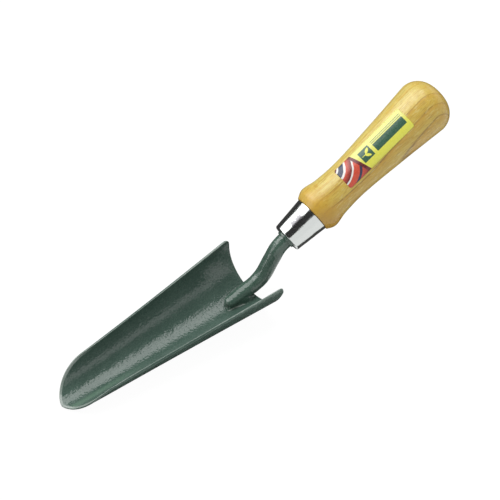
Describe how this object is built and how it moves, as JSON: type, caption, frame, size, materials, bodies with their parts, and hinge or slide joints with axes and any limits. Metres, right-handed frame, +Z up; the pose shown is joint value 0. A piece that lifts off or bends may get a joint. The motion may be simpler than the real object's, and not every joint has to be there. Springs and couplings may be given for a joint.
{
  "type": "transplanting trowel",
  "caption": "Hand trowel with a narrow pressed trough blade in green enamel, a cranked neck, a chromed ferrule and a turned wooden handle.",
  "frame": {"origin": "on the surface it lies on, under the middle of the tool's box", "axes": "+X along the tool from the nose to the handle, +Y across the blade, +Z up out of the trough"},
  "size_m": [0.3254, 0.0586, 0.1087],
  "materials": {
    "blade_enamel": "glossy hammered enamel",
    "neck_enamel": "glossy hammered enamel",
    "weld_enamel": "glossy enamel over a weld",
    "ferrule_chrome": "bright plated",
    "handle_wood": "clear lacquer",
    "label_print": "printed film"
  },
  "bodies": {
    "root": {"blade": "blade_enamel", "neck": "neck_enamel", "weld_bead": "weld_enamel", "ferrule": "ferrule_chrome", "handle": "handle_wood", "label": "label_print"}
  },
  "joints": []
}
